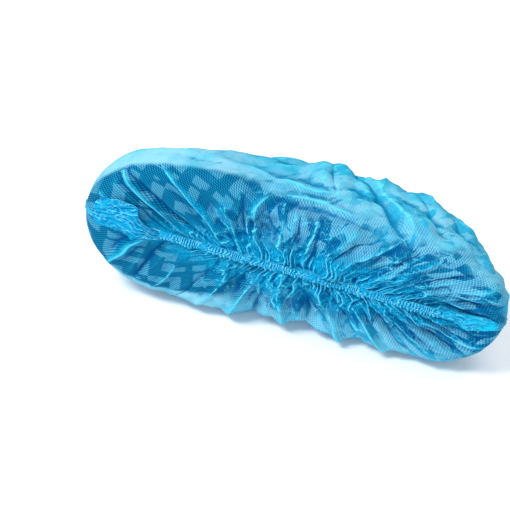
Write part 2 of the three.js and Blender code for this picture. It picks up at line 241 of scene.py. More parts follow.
def bent(x, y, seed):
    """Coordinates pushed about by slow noise."""
    bend = 0.45
    return (
        x + bend * soft_noise(x * 0.9, y * 0.9, seed + 1),
        y + bend * soft_noise(x * 0.9 + 40, y * 0.9, seed + 2),
    )


def facet_tone(x, y, seed):
    """One value from 0 to 1 for each facet of the crumple with this seed."""
    x, y = bent(x, y, seed)
    i, j = np.floor(x), np.floor(y)
    half = (x - i > y - j).astype(np.int64)
    return chance(i.astype(np.int64) * 2 + half, j.astype(np.int64), seed + 9)


def crumple(x, y, seed):
    """Noise from -1 to 1 made of flat facets that meet in creases, as in crushed cloth."""
    x, y = bent(x, y, seed)
    a, b, (v00, v10, v01, v11) = corners(x, y, seed)
    lower = v00 + a * (v10 - v00) + b * (v11 - v10)
    upper = v00 + b * (v01 - v00) + a * (v11 - v01)
    return np.where(a > b, lower, upper)


def normals(grid):
    """Unit normals of a grid of points, as its second axis crossed with its first."""
    along = np.gradient(grid, axis=0)
    across = np.gradient(grid, axis=1)
    out = np.cross(across, along)
    return out / np.maximum(np.linalg.norm(out, axis=2), 1e-12)[..., None]


def run_along(grid, axis):
    """Distance along a grid from its first row on that axis."""
    steps = np.linalg.norm(np.diff(grid, axis=axis), axis=2)
    start = np.zeros_like(steps[:1] if axis == 0 else steps[:, :1])
    return np.concatenate([start, np.cumsum(steps, axis=axis)], axis=axis)


def finer(grid, *counts):
    """A grid resampled with smooth curves to the given counts on its first axes."""
    for axis, count in enumerate(counts):
        grid = np.moveaxis(grid, axis, 0)
        at = np.linspace(0, len(grid) - 1, count)
        i = np.minimum(at.astype(int), len(grid) - 2)
        t = (at - i).reshape(-1, *[1] * (grid.ndim - 1))
        ends = (2 * grid[:1] - grid[1:2], grid, 2 * grid[-1:] - grid[-2:-1])
        run = np.concatenate(ends, 0)
        p0, p1, p2, p3 = (run[i + j] for j in range(4))
        grid = p1 + 0.5 * t * (
            p2 - p0 + t * (2 * p0 - 5 * p1 + 4 * p2 - p3 + t * (3 * (p1 - p2) + p3 - p0))
        )
        grid = np.moveaxis(grid, 0, axis)
    return grid


# Gathers. Every second ridge at a seam reaches further, every fourth further still, and so on.
# Columns: height, start and end as distances from the seam, all in millimetres, and how
# pinched the crest is.
SEAM_RIDGES = 56
SEAM_GATHERS = (
    (2.3, 0, 22, 1.4),
    (2.2, 0, 36, 1.6),
    (2.4, 4, 54, 1.6),
    (2.6, 14, 84, 1.7),
)
HEM_RIDGES = 88
HEM_GATHERS = (
    (1.1, 0, 12, 1.2),
    (1.4, 1, 24, 1.4),
    (1.9, 5, 42, 1.6),
    (2.4, 14, 70, 1.7),
)


def kinked_noise(x, y, seed):
    """Noise from -1 to 1 along y in straight stretches, and smooth along x."""
    a, b, (v00, v10, v01, v11) = corners(x, y, seed)
    a = smooth(a)
    return (v00 * (1 - a) + v10 * a) * (1 - b) + (v01 * (1 - a) + v11 * a) * b


def gathers(share, far, ridges, rows, seed):
    """Height of ridges that start at a seam and run away from it, fewer as they go."""
    share, far = np.broadcast_arrays(share, far)
    at = share * ridges
    drift = 0.7 * soft_noise(at * 0.45, far * 0, seed)
    wander = 0.8 * kinked_noise(at / 3, far / 5.5 + at / 5, seed + 1)
    wander += 1.1 * kinked_noise(at / 6, far / 15, seed + 2) * between(4, 24, far)
    phase = at + drift + wander * between(0, 6, far)
    total = np.zeros(far.shape)
    for level, (high, starts, ends, sharp) in enumerate(rows):
        spot = phase / 2**level
        ridge = np.floor(spot + 0.5)
        whole = ridge.astype(np.int64)
        own, other = chance(whole, 1, seed + 5 + level), chance(whole, 2, seed + 5 + level)
        reach = starts + (ends - starts) * (0.35 + 0.65 * own)
        rise = between(-1, 0.8 * starts, far) if starts else 1.0
        crest = (1 - 2 * np.abs(spot - ridge)) ** sharp
        fall = 1 - between(0.3, 1.0, far / reach)
        total += high * rise * (0.3 + 0.7 * other) * crest * fall
        total -= high * rise * 0.22 * (1 - between(0.3, 1.0, far / ends))
    return total


# Long folds. Columns: height outward and half width in millimetres, which flank is the
# steeper, from -1 to 1, and the run of points (share, place).
INNER_FOLDS = (
    # On the sole, from toe to heel
    (5.0, 8.0, 0.6, ((0.215, 2.1), (0.233, 1.33), (0.24, 0.63), (0.228, 0.1))),
    (-2.0, 6.0, 0.3, ((0.185, 1.7), (0.2, 1.1), (0.203, 0.5), (0.2, 0.1))),
    (-4.6, 4.0, -0.5, ((0.118, 2.15), (0.1, 1.3), (0.082, 0.6), (0.075, 0.1))),
    (-4.6, 4.0, 0.5, ((0.138, 2.2), (0.138, 1.3), (0.15, 0.6), (0.177, 0.1))),
    (3.4, 4.5, 0.0, ((0.128, 2.2), (0.118, 1.1), (0.115, 0.5), (0.12, 0.1))),
    (-4.0, 4.0, 0.0, ((0.078, 1.2), (0.06, 0.8), (0.047, 0.4), (0.043, 0.1))),
    (2.2, 6.0, 0.0, ((0.06, 2.2), (0.055, 1.6), (0.05, 1.1), (0.05, 0.9))),
    (-2.6, 4.5, 0.2, ((0.385, 2.2), (0.36, 1.5), (0.335, 0.9), (0.33, 0.5))),
    (2.8, 6.0, 0.0, ((0.41, 2.0), (0.385, 1.4), (0.36, 0.8), (0.35, 0.3))),
    (2.4, 5.0, 0.3, ((0.3, 1.3), (0.305, 0.9), (0.3, 0.5), (0.29, 0.1))),
    (3.2, 7.0, 0.3, ((0.46, 2.2), (0.455, 1.5), (0.44, 0.9), (0.42, 0.2))),
    (-3.4, 5.0, 0.2, ((0.495, 2.2), (0.49, 1.5), (0.475, 0.9), (0.465, 0.3))),
    (3.0, 6.0, 0.4, ((0.53, 2.3), (0.525, 1.6), (0.51, 0.9), (0.495, 0.2))),
    (-5.2, 7.0, 0.4, ((0.57, 0.45), (0.59, 1.1), (0.615, 1.7), (0.647, 2.6))),
    (4.4, 7.5, 0.5, ((0.6, 0.3), (0.63, 1.1), (0.665, 1.8), (0.69, 2.6))),
    (-5.2, 6.0, 0.4, ((0.7, 0.3), (0.715, 0.9), (0.725, 1.5), (0.728, 2.4))),
    (4.0, 7.5, 0.3, ((0.74, 0.3), (0.76, 0.9), (0.77, 1.6), (0.785, 2.4))),
    (-4.6, 5.5, 0.2, ((0.79, 0.2), (0.812, 0.8), (0.835, 1.4), (0.858, 2.2))),
    (3.4, 6.5, 0.0, ((0.85, 0.2), (0.87, 0.8), (0.89, 1.4), (0.91, 2.2))),
    (-3.0, 4.5, 0.0, ((0.91, 0.2), (0.93, 0.8), (0.94, 1.5), (0.95, 2.2))),
    # Above the sole
    (-3.0, 10.0, 0.5, ((0.505, 4.6), (0.517, 4.2), (0.535, 3.8), (0.55, 3.4))),
    (-6.0, 11.0, 0.7, ((0.54, 4.6), (0.572, 4.2), (0.63, 3.68), (0.688, 2.8))),
    (3.0, 9.0, -0.3, ((0.575, 4.3), (0.62, 3.9), (0.667, 3.5), (0.715, 2.9))),
    (-2.6, 9.0, 0.3, ((0.675, 4.5), (0.71, 4.0), (0.735, 3.6), (0.76, 3.2))),
    (-2.6, 9.0, 0.2, ((0.77, 4.4), (0.79, 4.0), (0.81, 3.5), (0.84, 2.9))),
    (-2.4, 13.0, 0.5, ((0.2, 4.1), (0.25, 3.85), (0.31, 3.75), (0.36, 3.95))),
    (-2.6, 12.0, 0.5, ((0.36, 4.2), (0.4, 3.9), (0.45, 3.85), (0.49, 4.1))),
    (2.2, 8.0, 0.3, ((0.1, 2.9), (0.2, 3.1), (0.3, 3.15), (0.4, 3.3))),
    (2.4, 7.0, 0.3, ((0.38, 3.3), (0.45, 3.2), (0.52, 3.3), (0.58, 3.6))),
    (2.2, 6.0, 0.0, ((0.45, 2.7), (0.5, 3.0), (0.55, 3.1), (0.6, 2.9))),
    (-2.0, 8.0, 0.2, ((0.87, 4.3), (0.885, 3.8), (0.89, 3.3), (0.89, 2.9))),
)
OUTER_FOLDS = (
    (-3.0, 4.0, 0.0, ((0.01, 0.3), (0.025, 0.8), (0.05, 1.2), (0.08, 1.6))),
    (4.6, 6.0, 0.4, ((0.02, 0.2), (0.05, 0.9), (0.10, 1.5), (0.13, 2.1))),
    (-4.4, 6.0, 0.0, ((0.06, 0.2), (0.10, 0.8), (0.16, 1.4), (0.19, 2.1))),
    (2.4, 6.0, 0.0, ((0.15, 0.2), (0.18, 0.8), (0.22, 1.4), (0.235, 2.2))),
    (-2.6, 6.0, 0.0, ((0.25, 0.3), (0.265, 0.9), (0.28, 1.5), (0.29, 2.2))),
    (3.2, 6.0, 0.3, ((0.31, 0.2), (0.32, 0.9), (0.33, 1.5), (0.33, 2.2))),
    (4.8, 7.0, 0.3, ((0.37, 0.2), (0.39, 1.0), (0.395, 1.7), (0.4, 2.7))),
    (-8.5, 13.0, 0.2, ((0.425, 0.6), (0.435, 1.2), (0.442, 1.8), (0.45, 2.9))),
    (6.4, 8.0, 0.5, ((0.45, 0.2), (0.48, 1.0), (0.505, 1.7), (0.525, 2.7))),
    (-10.0, 14.0, 0.2, ((0.53, 0.6), (0.545, 1.1), (0.555, 1.7), (0.565, 2.9))),
    (6.8, 8.0, 0.5, ((0.56, 0.2), (0.59, 0.9), (0.615, 1.5), (0.635, 2.7))),
    (-5.8, 6.0, 0.4, ((0.61, 0.3), (0.635, 0.9), (0.655, 1.5), (0.67, 2.5))),
    (6.2, 7.0, 0.5, ((0.66, 0.2), (0.69, 0.9), (0.71, 1.6), (0.73, 2.7))),
    (-5.6, 5.5, 0.3, ((0.72, 0.3), (0.745, 0.9), (0.76, 1.5), (0.775, 2.2))),
    (4.4, 5.5, 0.4, ((0.77, 0.2), (0.80, 0.9), (0.82, 1.3), (0.83, 1.8))),
    (-5.0, 5.0, 0.3, ((0.83, 0.2), (0.86, 0.8), (0.885, 1.3), (0.9, 1.9))),
    (4.4, 5.0, 0.4, ((0.88, 0.2), (0.91, 0.8), (0.93, 1.3), (0.945, 1.8))),
    (-3.6, 4.0, 0.0, ((0.935, 0.3), (0.95, 0.8), (0.96, 1.3), (0.97, 1.9))),
)

# Puffs of the cloth. Columns: share, place, and half length, half width and height in
# millimetres.
INNER_PUFFS = (
    (0.32, 3.6, 40, 22, 2.5),
    (0.36, 4.3, 44, 24, 2.5),
    (0.45, 4.0, 30, 28, 5.0),
    (0.528, 4.15, 28, 34, 9.0),
    (0.6, 3.3, 30, 20, 5.0),
    (0.605, 4.3, 20, 26, 7.5),
    (0.655, 4.3, 20, 26, 7.0),
    (0.7, 4.3, 20, 26, 6.5),
    (0.7, 3.4, 26, 22, 5.0),
    (0.735, 4.1, 26, 26, 7.5),
    (0.785, 4.2, 22, 26, 6.0),
    (0.79, 3.3, 22, 20, 4.0),
    (0.835, 4.0, 22, 26, 6.0),
    (0.88, 3.9, 14, 22, 3.0),
    (0.49, 3.2, 28, 16, 3.5),
)
OUTER_PUFFS = (
    (0.32, 4.0, 36, 30, 4.0),
    (0.48, 4.1, 34, 32, 4.5),
    (0.62, 4.0, 30, 32, 4.5),
    (0.77, 4.0, 26, 30, 4.0),
)

# Places where the outer side is drawn in, in the same columns
HOLLOWS = (
    (0.3, 1.9, 60, 26, 3.0),
    (0.5, 2.1, 62, 30, 5.0),
    (0.66, 2.0, 30, 24, 2.0),
)

# Crumples of the cloth. Columns: height and grain along and across in millimetres, seed, and
# the part of the cloth.
CRUMPLES = (
    (2.4, 26, 22, 220, "gathered"),
    (3.0, 13, 28, 225, "sole"),
    (2.4, 10, 12, 230, "gathered"),
    (1.3, 5.6, 6.5, 240, "by the seam"),
    (0.55, 3.1, 3.2, 245, "at the seam"),
    (2.0, 22, 18, 250, "side"),
    (1.1, 9, 10, 260, "side"),
    (0.5, 4.4, 5, 265, "side"),
)
# The crumples whose facets differ in tone as well
SOLE_TONES, SIDE_TONES = CRUMPLES[1:3], CRUMPLES[5:7]
NOISE_LENGTH = 330
LEAST_STRETCH = 60


def along_mm(grid, share):
    """Millimetres per unit of share at each point of a grid."""
    return np.linalg.norm(np.gradient(grid, share, axis=0), axis=2)


def far_at(share, place, far, at_share, at_place):
    """Distance from the seam at given shares and places, read off a grid."""
    i = np.interp(at_share, share, np.arange(len(share)))
    j = np.interp(at_place, place, np.arange(len(place)))
    return far[np.round(i).astype(int), np.round(j).astype(int)]


def folds(side, share, place, far, stretch, seed):
    """Height of the long folds."""
    shares = share[:, None] + 0 * far
    shares = shares + 0.9 * soft_noise(shares * 26, far / 13, seed) / stretch
    shares = shares + 1.6 * soft_noise(shares * 11, far / 27, seed + 1) / stretch
    total = np.zeros(far.shape)
    for high, wide, steep, run in INNER_FOLDS if side == INNER else OUTER_FOLDS:
        knots = finer(np.array(run), 9)
        x = knots[:, 0]
        y = far_at(share, place, far, x, knots[:, 1])
        nearest = np.full(far.shape, np.inf)
        signed = np.zeros(far.shape)
        spot = np.zeros(far.shape)
        for k in range(len(knots) - 1):
            ax, ay = (shares - x[k]) * stretch, far - y[k]
            bx, by = (x[k + 1] - x[k]) * stretch, y[k + 1] - y[k]
            t = np.clip((ax * bx + ay * by) / (bx * bx + by * by), 0, 1)
            dx, dy = ax - t * bx, ay - t * by
            d = np.hypot(dx, dy)
            near = d < nearest
            nearest = np.where(near, d, nearest)
            signed = np.where(near, np.sign(ax * by - ay * bx) * d, signed)
            spot = np.where(near, k + t, spot)
        spot = spot / (len(knots) - 1)
        ends = np.sin(np.pi * np.clip(0.04 + 0.92 * spot, 0, 1)) ** 0.55
        flank = wide * (1 - 0.5 * steep * np.sign(signed))
        t = np.clip(nearest / flank, 0, 1)
        hill = (1 - t**1.5) ** 2.2 if high > 0 else (1 - t) ** 1.6
        own = 1 + 0.3 * soft_noise(spot * 4, shares * 9, seed + 5)
        total += high * ends * hill * own
    return total


def puffs(rows, share, place, far, stretch):
    """Height of rounded swellings that run into each other."""
    total = np.zeros(far.shape)
    for at_share, at_place, long, wide, high in rows:
        y = far_at(share, place, far, at_share, at_place)
        r = np.hypot((share[:, None] - at_share) * stretch / long, (far - y) / wide)
        total += (high * np.clip(1 - r * r, 0, 1) ** 1.5) ** 2.5
    return total ** (1 / 2.5)


def relief(side, share, place, base, seed):
    """Height of all the forms of the cloth over its smooth base."""
    far = run_along(base, 1)
    to_hem = far[:, -1:] - far
    stretch = np.maximum(along_mm(base, share), LEAST_STRETCH)
    shares = share[:, None] + 0 * far
    x = shares * NOISE_LENGTH
    fade = smooth(np.minimum(shares, 1 - shares) / 0.05)
    toe = 1 - between(0.16, 0.34, shares)
    near = 1 - between(20, 60, far)
    sole = 1 - between(44, 66, far)
    busy = (0.15 + 0.85 * (1 - toe)) * (0.42 + 0.58 * near)
    height = gathers(shares, far, SEAM_RIDGES, SEAM_GATHERS, seed) * (1 - 0.5 * toe)
    height += 0.9 * gathers(shares, to_hem, HEM_RIDGES, HEM_GATHERS, seed + 100)
    height += folds(side, share, place, far, stretch, seed + 150)
    own_puffs = INNER_PUFFS if side == INNER else OUTER_PUFFS
    height += puffs(own_puffs, share, place, far, stretch)
    if side == OUTER:
        height -= puffs(HOLLOWS, share, place, far, stretch)
    loose = (1 - sole) * (0.3 + 0.7 * between(0.3, 0.5, shares))
    parts = {
        "gathered": busy,
        "sole": busy * sole,
        "by the seam": busy * (0.35 + 0.65 * near),
        "at the seam": busy * (0.2 + 0.8 * near),
        "side": loose * (1 - 0.5 * between(0.75, 0.9, shares)),
    }
    for high, along, across, own, part in CRUMPLES:
        height += high * crumple(x / along, far / across, seed + own) * parts[part]
    ends = (0.15 + 0.85 * between(0, 1.8, far)) * (0.3 + 0.7 * between(0, 9, to_hem))
    return height * fade * ends


# Sheets and tubes
def mesh_from(name, points, faces, uv=None, values=None):
    mesh = bpy.data.meshes.new(name)
    mesh.from_pydata(points.reshape(-1, 3).tolist(), [], list(faces))
    if uv is not None:
        layer = mesh.uv_layers.new(name="cloth")
        loops = np.empty(len(mesh.loops), dtype=np.int32)
        mesh.loops.foreach_get("vertex_index", loops)
        layer.data.foreach_set("uv", uv.reshape(-1, 2)[loops].ravel().astype(np.float32))
    for key, value in (values or {}).items():
        attribute = mesh.attributes.new(key, "FLOAT", "POINT")
        attribute.data.foreach_set("value", value.ravel().astype(np.float32))
    mesh.shade_smooth()
    mesh.update()
    piece = bpy.data.objects.new(name, mesh)
    bpy.context.collection.objects.link(piece)
    return piece


def grid_faces(rows, columns, wrap_rows=False, wrap_columns=False, flip=False):
    i = np.arange(rows if wrap_rows else rows - 1)[:, None]
    j = np.arange(columns if wrap_columns else columns - 1)[None]
    i, j = np.broadcast_arrays(i, j)
    row, next_row = i * columns, (i + 1) % rows * columns
    next_j = (j + 1) % columns
    quads = [row + j, next_row + j, next_row + next_j, row + next_j]
    if flip:
        quads = quads[::-1]
    return np.stack(quads, -1).reshape(-1, 4).tolist()


# The two side panels
PANEL_ROWS, PANEL_COLUMNS = 560, 170
CLOTH_SPARE_ALONG = 1.05
CLOTH_SPARE_ACROSS = 1.04
LIFT_FULL = 5.0
CREASE_FULL = 0.32
EDGE_FULL = 0.1
FOLD_FULL = 1.3
WIDEST_PLACE = 2.6

# How far the sole's dark colour reaches on each side. Columns: share and place.
INNER_REACH = (
    (0.0, 2.8), (0.05, 2.6), (0.098, 2.4), (0.19, 2.32), (0.288, 2.45), (0.383, 2.8),
    (0.485, 3.05), (0.537, 3.05), (0.595, 2.75), (0.65, 2.65), (0.76, 2.55), (0.858, 2.4),
    (1.0, 2.5),
)
OUTER_REACH = (
    (0.0, 2.4), (0.2, 1.95), (0.33, 1.45), (0.45, 1.2), (0.6, 1.2), (0.75, 1.5), (0.9, 2.0),
    (1.0, 2.7),
)


def blurred(values, reach):
    """Values of a grid averaged over a window of 2 * reach + 1 in both directions."""
    for axis in (0, 1):
        padded = np.concatenate([
            np.repeat(np.take(values, [0], axis), reach + 1, axis), values,
            np.repeat(np.take(values, [-1], axis), reach, axis),
        ], axis)
        total = np.cumsum(padded, axis)
        count = values.shape[axis]
        width = 2 * reach + 1
        high = np.take(total, np.arange(width, width + count), axis)
        values = (high - np.take(total, np.arange(count), axis)) / width
    return values


def bend_of(points, seen, reach):
    """How far each point stands out from those around it, in millimetres."""
    around = np.stack([blurred(points[..., c], reach) for c in range(3)], 2)
    bend = np.einsum("ijk,ijk->ij", (points - around) @ LAY.T, seen)
    bend[:reach] = bend[-reach:] = 0
    return bend


def facet_tones(x, far, rows, seed):
    """The tones of the facets of two crumples, mixed."""
    first, second = (
        facet_tone(x / along, far / across, seed + own) for _, along, across, own, _ in rows
    )
    return 0.55 * first + 0.45 * second


def panel(side, name, node, seed):
    share = np.linspace(0, 1, PANEL_ROWS)
    place = np.interp(np.linspace(0, 1, PANEL_COLUMNS), PLACE_SHARES, PLACES)
    base = smooth_cloth(side, share, place)
    out = normals(base) * side
    for end in (0, -1):
        out[end, :, 1] = 0
        out[end] = unit(out[end])
    height = relief(side, share, place, base, seed)
    points = base + out * height[..., None]
    finished = laid(points)
    seen = -normals(points @ LAY.T) * side
    crease = bend_of(points, seen, 2) / CREASE_FULL
    edge = bend_of(points, seen, 1) / EDGE_FULL
    fold = bend_of(points, seen, 7) / FOLD_FULL
    lift = height / LIFT_FULL
    far = run_along(base, 1)
    from_seam = np.clip(far / 60, 0, 1)
    shares = share[:, None] + 0 * far
    reach = np.array(INNER_REACH if side == INNER else OUTER_REACH)
    reach = np.interp(share, reach[:, 0], reach[:, 1])[:, None]
    rough = 0.04 + 0.3 * between(0.3, 0.5, shares)
    ragged = soft_noise(shares * 26, far / 15, seed + 400)
    ragged = ragged + 0.6 * crumple(shares * 60, far / 7, seed + 410)
    under = 1 - between(-0.06 - rough, 0.06 + rough, place[None] - reach + rough * ragged)
    x = shares * NOISE_LENGTH
    # Painted light and shade: each crumple facet gets a random tone, used in the colours for the
    # light that facet catches
    tone = facet_tones(x, far, SOLE_TONES, seed)
    side_tone = facet_tones(x, far, SIDE_TONES, seed)
    tone = tone + (side_tone - tone) * between(52, 58, far)
    far = far * CLOTH_SPARE_ACROSS
    widest = np.argmin(np.abs(place - WIDEST_PLACE))
    along = run_along(base[:, widest:widest + 1], 0) * CLOTH_SPARE_ALONG
    flat = np.stack([along + 0 * far, far], 2) * MM
    piece = mesh_from(
        name, finished, grid_faces(PANEL_ROWS, PANEL_COLUMNS, flip=side == OUTER), uv=flat,
        values={
            "crease": crease, "edge": edge, "fold": fold, "lift": lift, "under": under,
            "tone": tone, "place": place[None] + 0 * far, "share": shares,
            "from_seam": from_seam,
        },
    )
    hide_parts(node)
    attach(piece, "root")
    length, width = float(flat[-1, 0, 0]), float(flat[..., 1].max())
    area = length * float(flat[:, -1, 1].mean())
    return piece, dict(flat=(width, length), area=area)


# Tubes along the seams
def tube(name, rings, node, wrap=False, full=0.3):
    """A closed tube from rings of worn points, with a fan over each end unless it joins itself."""
    rows, columns = rings.shape[:2]
    faces = grid_faces(rows, columns, wrap_rows=wrap, wrap_columns=True)
    across = np.roll(rings, -1, 1) - np.roll(rings, 1, 1)
    outward = np.cross(across, np.gradient(rings, axis=0))
    outward /= np.maximum(np.linalg.norm(outward, axis=2), 1e-9)[..., None]
    from_middle = rings - rings.mean(axis=1, keepdims=True)
    outward *= np.sign(np.einsum("ijk,ijk->ij", outward, from_middle).mean())
    near = sum(np.roll(rings, k, 0) for k in (-3, -2, -1, 1, 2, 3)) / 6
    near = (near + sum(np.roll(rings, k, 1) for k in (-1, 1)) / 2) / 2
    crease = np.einsum("ijk,ijk->ij", rings - near, outward).ravel() / full
    points = laid(rings).reshape(-1, 3)
    ends = () if wrap else ((0, 1), ((rows - 1) * columns, -1))
    for first, turn in ends:
        ring = list(range(first, first + columns))
        middle = len(points)
        points = np.concatenate([points, points[ring].mean(axis=0)[None]])
        crease = np.append(crease, 0.0)
        faces += [[a, b, middle][::turn] for a, b in zip(ring, ring[1:] + ring[:1])]
    # The faces turned outwards, so that the tube holds a positive volume
    triangles = np.array([
        (face[0], face[k], face[k + 1]) for face in faces for k in range(1, len(face) - 1)
    ])
    a, b, c = points[triangles].transpose(1, 0, 2)
    if np.einsum("ij,ij->i", a, np.cross(b, c)).sum() < 0:
        faces = [face[::-1] for face in faces]
    piece = mesh_from(name, points, faces, values={"crease": crease})
    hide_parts(node)
    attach(piece, "root")
    return piece


SEAM_BEAD = 2.5
HEM_PLEATS = 150


def seam_ruffle():
    """A rope of small uneven puckers in two rows that lie between each other."""
    rows, around = 900, 36
    x = np.linspace(SEAM_START - 2, SEAM_END + 2, rows)[:, None]
    angle = np.linspace(0, 2 * np.pi, around, endpoint=False)[None]
    side = np.sign(np.cos(angle))
    row = np.where(side > 0, 0.0, 0.5)
    slant = 0.3 * np.abs(np.cos(angle)) + 0.25 * soft_noise(x / 5 + side * 9, 3 * angle, 6)
    phase = x / SEAM_BEAD + row - slant + 1.6 * soft_noise(x / 8, x * 0 + row * 3, 5)
    bead = np.floor(phase)
    whole = bead.astype(np.int64)
    own, wide = chance(whole, 3, 13), chance(whole, 4, 17)
    crest = np.clip(1 - np.abs(2 * (phase - bead) - 1) ** (1.1 + wide), 0, 1)
    ends = between(0, 5, x - x[0]) * between(0, 5, x[-1] - x)
    two_rows = np.abs(np.cos(angle)) ** 0.5
    radius = 0.9 + (0.5 + 1.7 * own) * crest * ends * (0.3 + 0.7 * two_rows)
    radius = radius + 0.3 * crumple(x / 1.3 + 0 * angle, 5 * angle / np.pi + 0 * x, 31)
    sway = 0.8 * soft_noise(x / 9, x * 0 + 3, 8)
    inward = between(-0.3, 0.4, np.sin(angle))
    y = (sway + radius * 1.1 * np.cos(angle)) * (1 - inward) + 3.6 * np.cos(angle) * inward
    z = -2.2 + 0.5 * soft_noise(x / 5, x * 0 + 6, 9) + radius * 0.9 * np.sin(angle)
    z = z * (1 - inward) - (0.7 - 0.9 * np.sin(angle)) * inward
    return tube("seam_ruffle", np.stack([x + 0 * y, y, z], 2), "sole_seam")


def end_ruffle(side_share, name, node):
    """A puckered ridge over the joint of the two panels, at the toe or at the heel."""
    rows, around = 360, 16
    place = np.linspace(0.02, 5, rows)
    base = smooth_cloth(INNER, np.array((side_share,)), place)[0]
    base[:, 1] = 0
    tangent = unit(np.gradient(base, axis=0))
    side_way = np.array((0.0, 1.0, 0.0))
    out = np.cross(side_way, tangent)
    middle = base.mean(axis=0)
    out *= np.sign(np.einsum("ij,ij->i", out, base - middle).mean())
    s = run_along(base[None], 1)[0][:, None]
    angle = np.linspace(0, 2 * np.pi, around, endpoint=False)[None]
    pucker = 0.75 + 0.35 * soft_noise(s / 1.6, s * 0, 41)
    wave = 0.35 * soft_noise(s / 3.0, s * 0, 43)
    inward = 1 - between(-0.4, 0.3, np.sin(angle))
    on_sole = 1 - between(0.8, 2.0, place)[:, None]
    wide = (1.0 + (0.9 + 1.5 * on_sole) * inward) * np.cos(angle) + wave * (1 - inward)
    pucker = pucker * (1 - 0.5 * on_sole)
    high = 0.3 + np.sin(angle) * (1.1 * pucker * (1 - inward) + 0.7 * inward)
    points = base[:, None] + wide[..., None] * side_way + high[..., None] * out[:, None]
    return tube(name, points, node)


def hem_ruffle():
    """The pleated band round the opening."""
    turns = 900
    half = turns // 2
    share = np.concatenate([np.linspace(0, 1, half), np.linspace(1, 0, half)])
    top = np.concatenate([
        smooth_cloth(side, part, np.array((4.9, 5.0)))
        for side, part in ((INNER, share[:half]), (OUTER, share[half:]))
    ])
    rim = top[:, 1]
    up = unit(rim - top[:, 0])
    along = unit(np.roll(rim, -3, 0) - np.roll(rim, 3, 0))
    out = unit(np.cross(along, up))
    out *= np.sign(np.einsum("ij,ij->i", out, rim - rim.mean(axis=0)).mean())
    s = np.linspace(0, 1, turns, endpoint=False)[:, None]
    wave = np.sin(2 * np.pi * s * HEM_PLEATS + 1.3 * np.sin(2 * np.pi * s * 23))
    own = 0.6 + 0.4 * np.sin(2 * np.pi * s * 41 + 1)
    profile = np.linspace(0, 2 * np.pi, 20, endpoint=False)[None]
    high = 3.2 + 5.9 * np.sin(profile) * (1 + 0.05 * wave)
    ease = 0.35 + 0.65 * np.clip(high / 9, 0, 1)
    thick = 0.8 * np.cos(profile)
    offset = thick + 0.9 * wave * own * ease - 0.7
    points = rim[:, None] + high[..., None] * up[:, None] + offset[..., None] * out[:, None]
    return tube("hem_ruffle", points, "opening_hem", wrap=True)


# Tucks: folded spare cloth under the toe and the heel. Each row goes across the fold, in
# millimetres as worn. Columns: x and y of its low edge, x and y of its high edge, how far its
# underside lies off the sole, and how far its outer side stands off that.
TOE_TUCK = (
    (60.5, -3.2, 59.5, 1.5, 1.2, 1.6),
    (55.0, -5.0, 52.5, 4.0, 1.4, 2.8),
    (49.4, -6.8, 46.4, 6.6, 1.5, 3.6),
    (43.4, -9.0, 41.6, 11.0, 1.5, 4.2),
    (38.2, -11.5, 38.8, 18.8, 1.5, 4.6),
    (34.5, -8.2, 33.0, 20.4, 1.4, 4.2),
    (27.5, -6.6, 25.5, 20.6, 1.3, 3.8),
    (19.2, -6.2, 16.9, 19.4, 1.2, 3.4),
    (11.5, -6.0, 10.0, 16.4, 0.8, 2.8),
    (6.8, -4.0, 6.4, 11.5, -0.2, 2.0),
    (4.6, 0.5, 4.6, 6.0, -1.4, 1.2),
)
HEEL_TUCK = (
    (271.5, -1.8, 271.5, 3.0, 1.2, 2.0),
    (276.5, -2.0, 275.5, 6.4, 1.5, 3.2),
    (284.0, -3.2, 283.0, 7.2, 1.5, 4.0),
    (290.0, -6.2, 293.0, 8.4, 1.5, 4.4),
    (300.0, -4.6, 302.5, 9.0, 1.3, 3.8),
    (307.5, -2.0, 309.0, 7.2, 0.8, 2.6),
    (312.0, 1.0, 312.5, 4.6, -0.4, 1.4),
)


def tuck(name, node, rows, pleats, seed):
    """A flat fold of cloth with pleats along it."""
    count = 170
    low_x, low_y, high_x, high_y, seat, stand = finer(np.array(rows), count).T[:, :, None]
    t = np.linspace(0, 1, count)[:, None]
    # Across the outer side, down the undercut high edge and back along the underside
    over = np.linspace(-1, 1, 80)
    down = np.linspace(0, 1, 8)[1:-1]
    back = np.linspace(0.82, -0.98, 26)
    v = np.concatenate([over, 1 - 0.18 * down, back])[None]
    level = np.concatenate([0 * over + 1, 1 - down, 0 * back])[None]
    outer = np.concatenate([0 * over + 1, (1 - down) * 0.6, 0 * back])[None]
    ragged = 1 + 0.035 * soft_noise(t * 19, np.sign(v) * 3 + 0 * t, seed)
    part = 0.5 + 0.5 * v * ragged
    x = low_x + (high_x - low_x) * part
    y = low_y + (high_y - low_y) * part
    crown = between(-1.02, -0.5, v) * (1 - 0.3 * between(0.2, 0.9, v))
    crown = crown + 0.25 * between(0.88, 1.0, v)
    phase = v * pleats / 2 + 0.5 * kinked_noise(t * 9 + 0 * v, v * 1.5 + 0 * t, seed + 3)
    ridge = np.floor(phase)
    own = chance(ridge.astype(np.int64), 4, seed + 4)
    crest = (1 - np.abs(2 * (phase - ridge) - 1)) ** 1.3
    strong = 0.6 + 0.4 * (1 - between(0.25, 0.7, t))
    form = 2.3 * (crest - 0.4) * (0.3 + 0.7 * own) * strong
    form = form + 1.6 * crumple(x / 9, y / 4.5, seed + 6)
    form = form + 0.5 * crumple(x / 4, y / 2.4, seed + 8)
    form = form * between(0, 0.06, t) * between(0, 0.06, 1 - t) * between(-1, -0.7, v)
    z = -(seat + stand * crown * level + form * outer)
    return tube(name, np.stack([x, y, z], 2), node, full=0.22)


